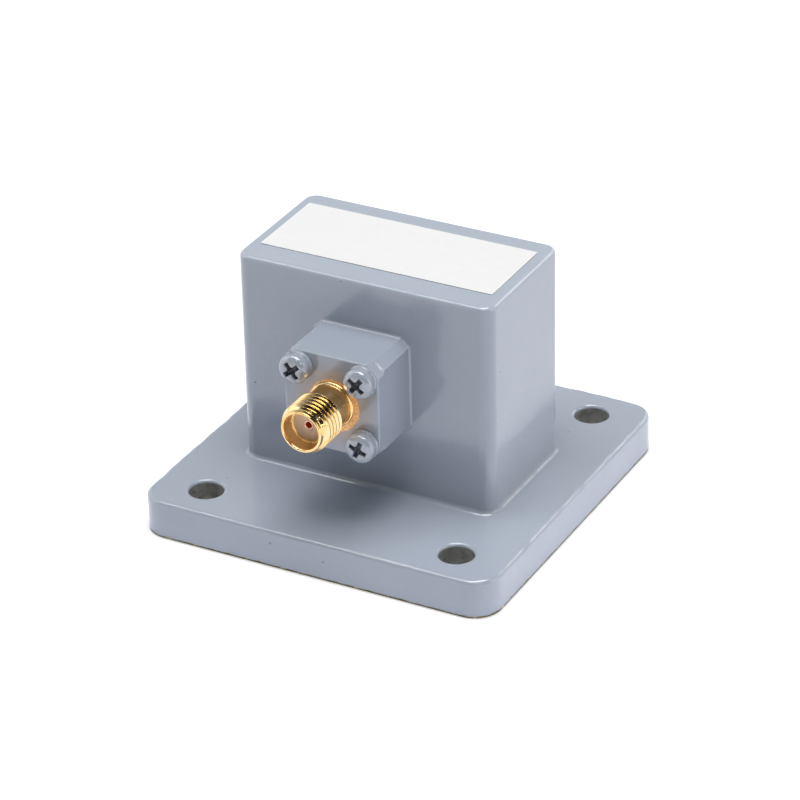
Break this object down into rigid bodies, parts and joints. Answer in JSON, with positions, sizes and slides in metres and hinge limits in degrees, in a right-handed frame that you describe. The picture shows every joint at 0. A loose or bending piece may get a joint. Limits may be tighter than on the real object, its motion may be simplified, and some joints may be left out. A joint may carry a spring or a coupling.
{
  "type": "waveguide adapter",
  "caption": "Grey painted right-angle adapter from a rectangular waveguide with a square flange to a threaded coaxial socket.",
  "frame": {"origin": "centre of the guide's opening on the flange's mating face", "axes": "+Z along the guide away from the mating face, +X along the broad wall, the socket points to -Y"},
  "size_m": [0.0478, 0.0487, 0.0331],
  "materials": {
    "grey_paint": "satin blue-grey paint",
    "gold_plating": "polished gold plating",
    "insulator": "waxy white PTFE",
    "contact_gold": "gold plating",
    "probe_gold": "satin gold plating",
    "screw_paint": "satin blue-grey paint over steel",
    "label_white": "smooth blank white film"
  },
  "bodies": {
    "root": {"waveguide_body": "grey_paint", "short_plate": "grey_paint", "flange": "grey_paint", "connector_boss": "grey_paint", "connector_shell": "gold_plating", "dielectric": "insulator", "centre_contact": "contact_gold", "probe_tip": "probe_gold", "connector_screws": "screw_paint", "spring_washers": "screw_paint", "label": "label_white"}
  },
  "joints": []
}
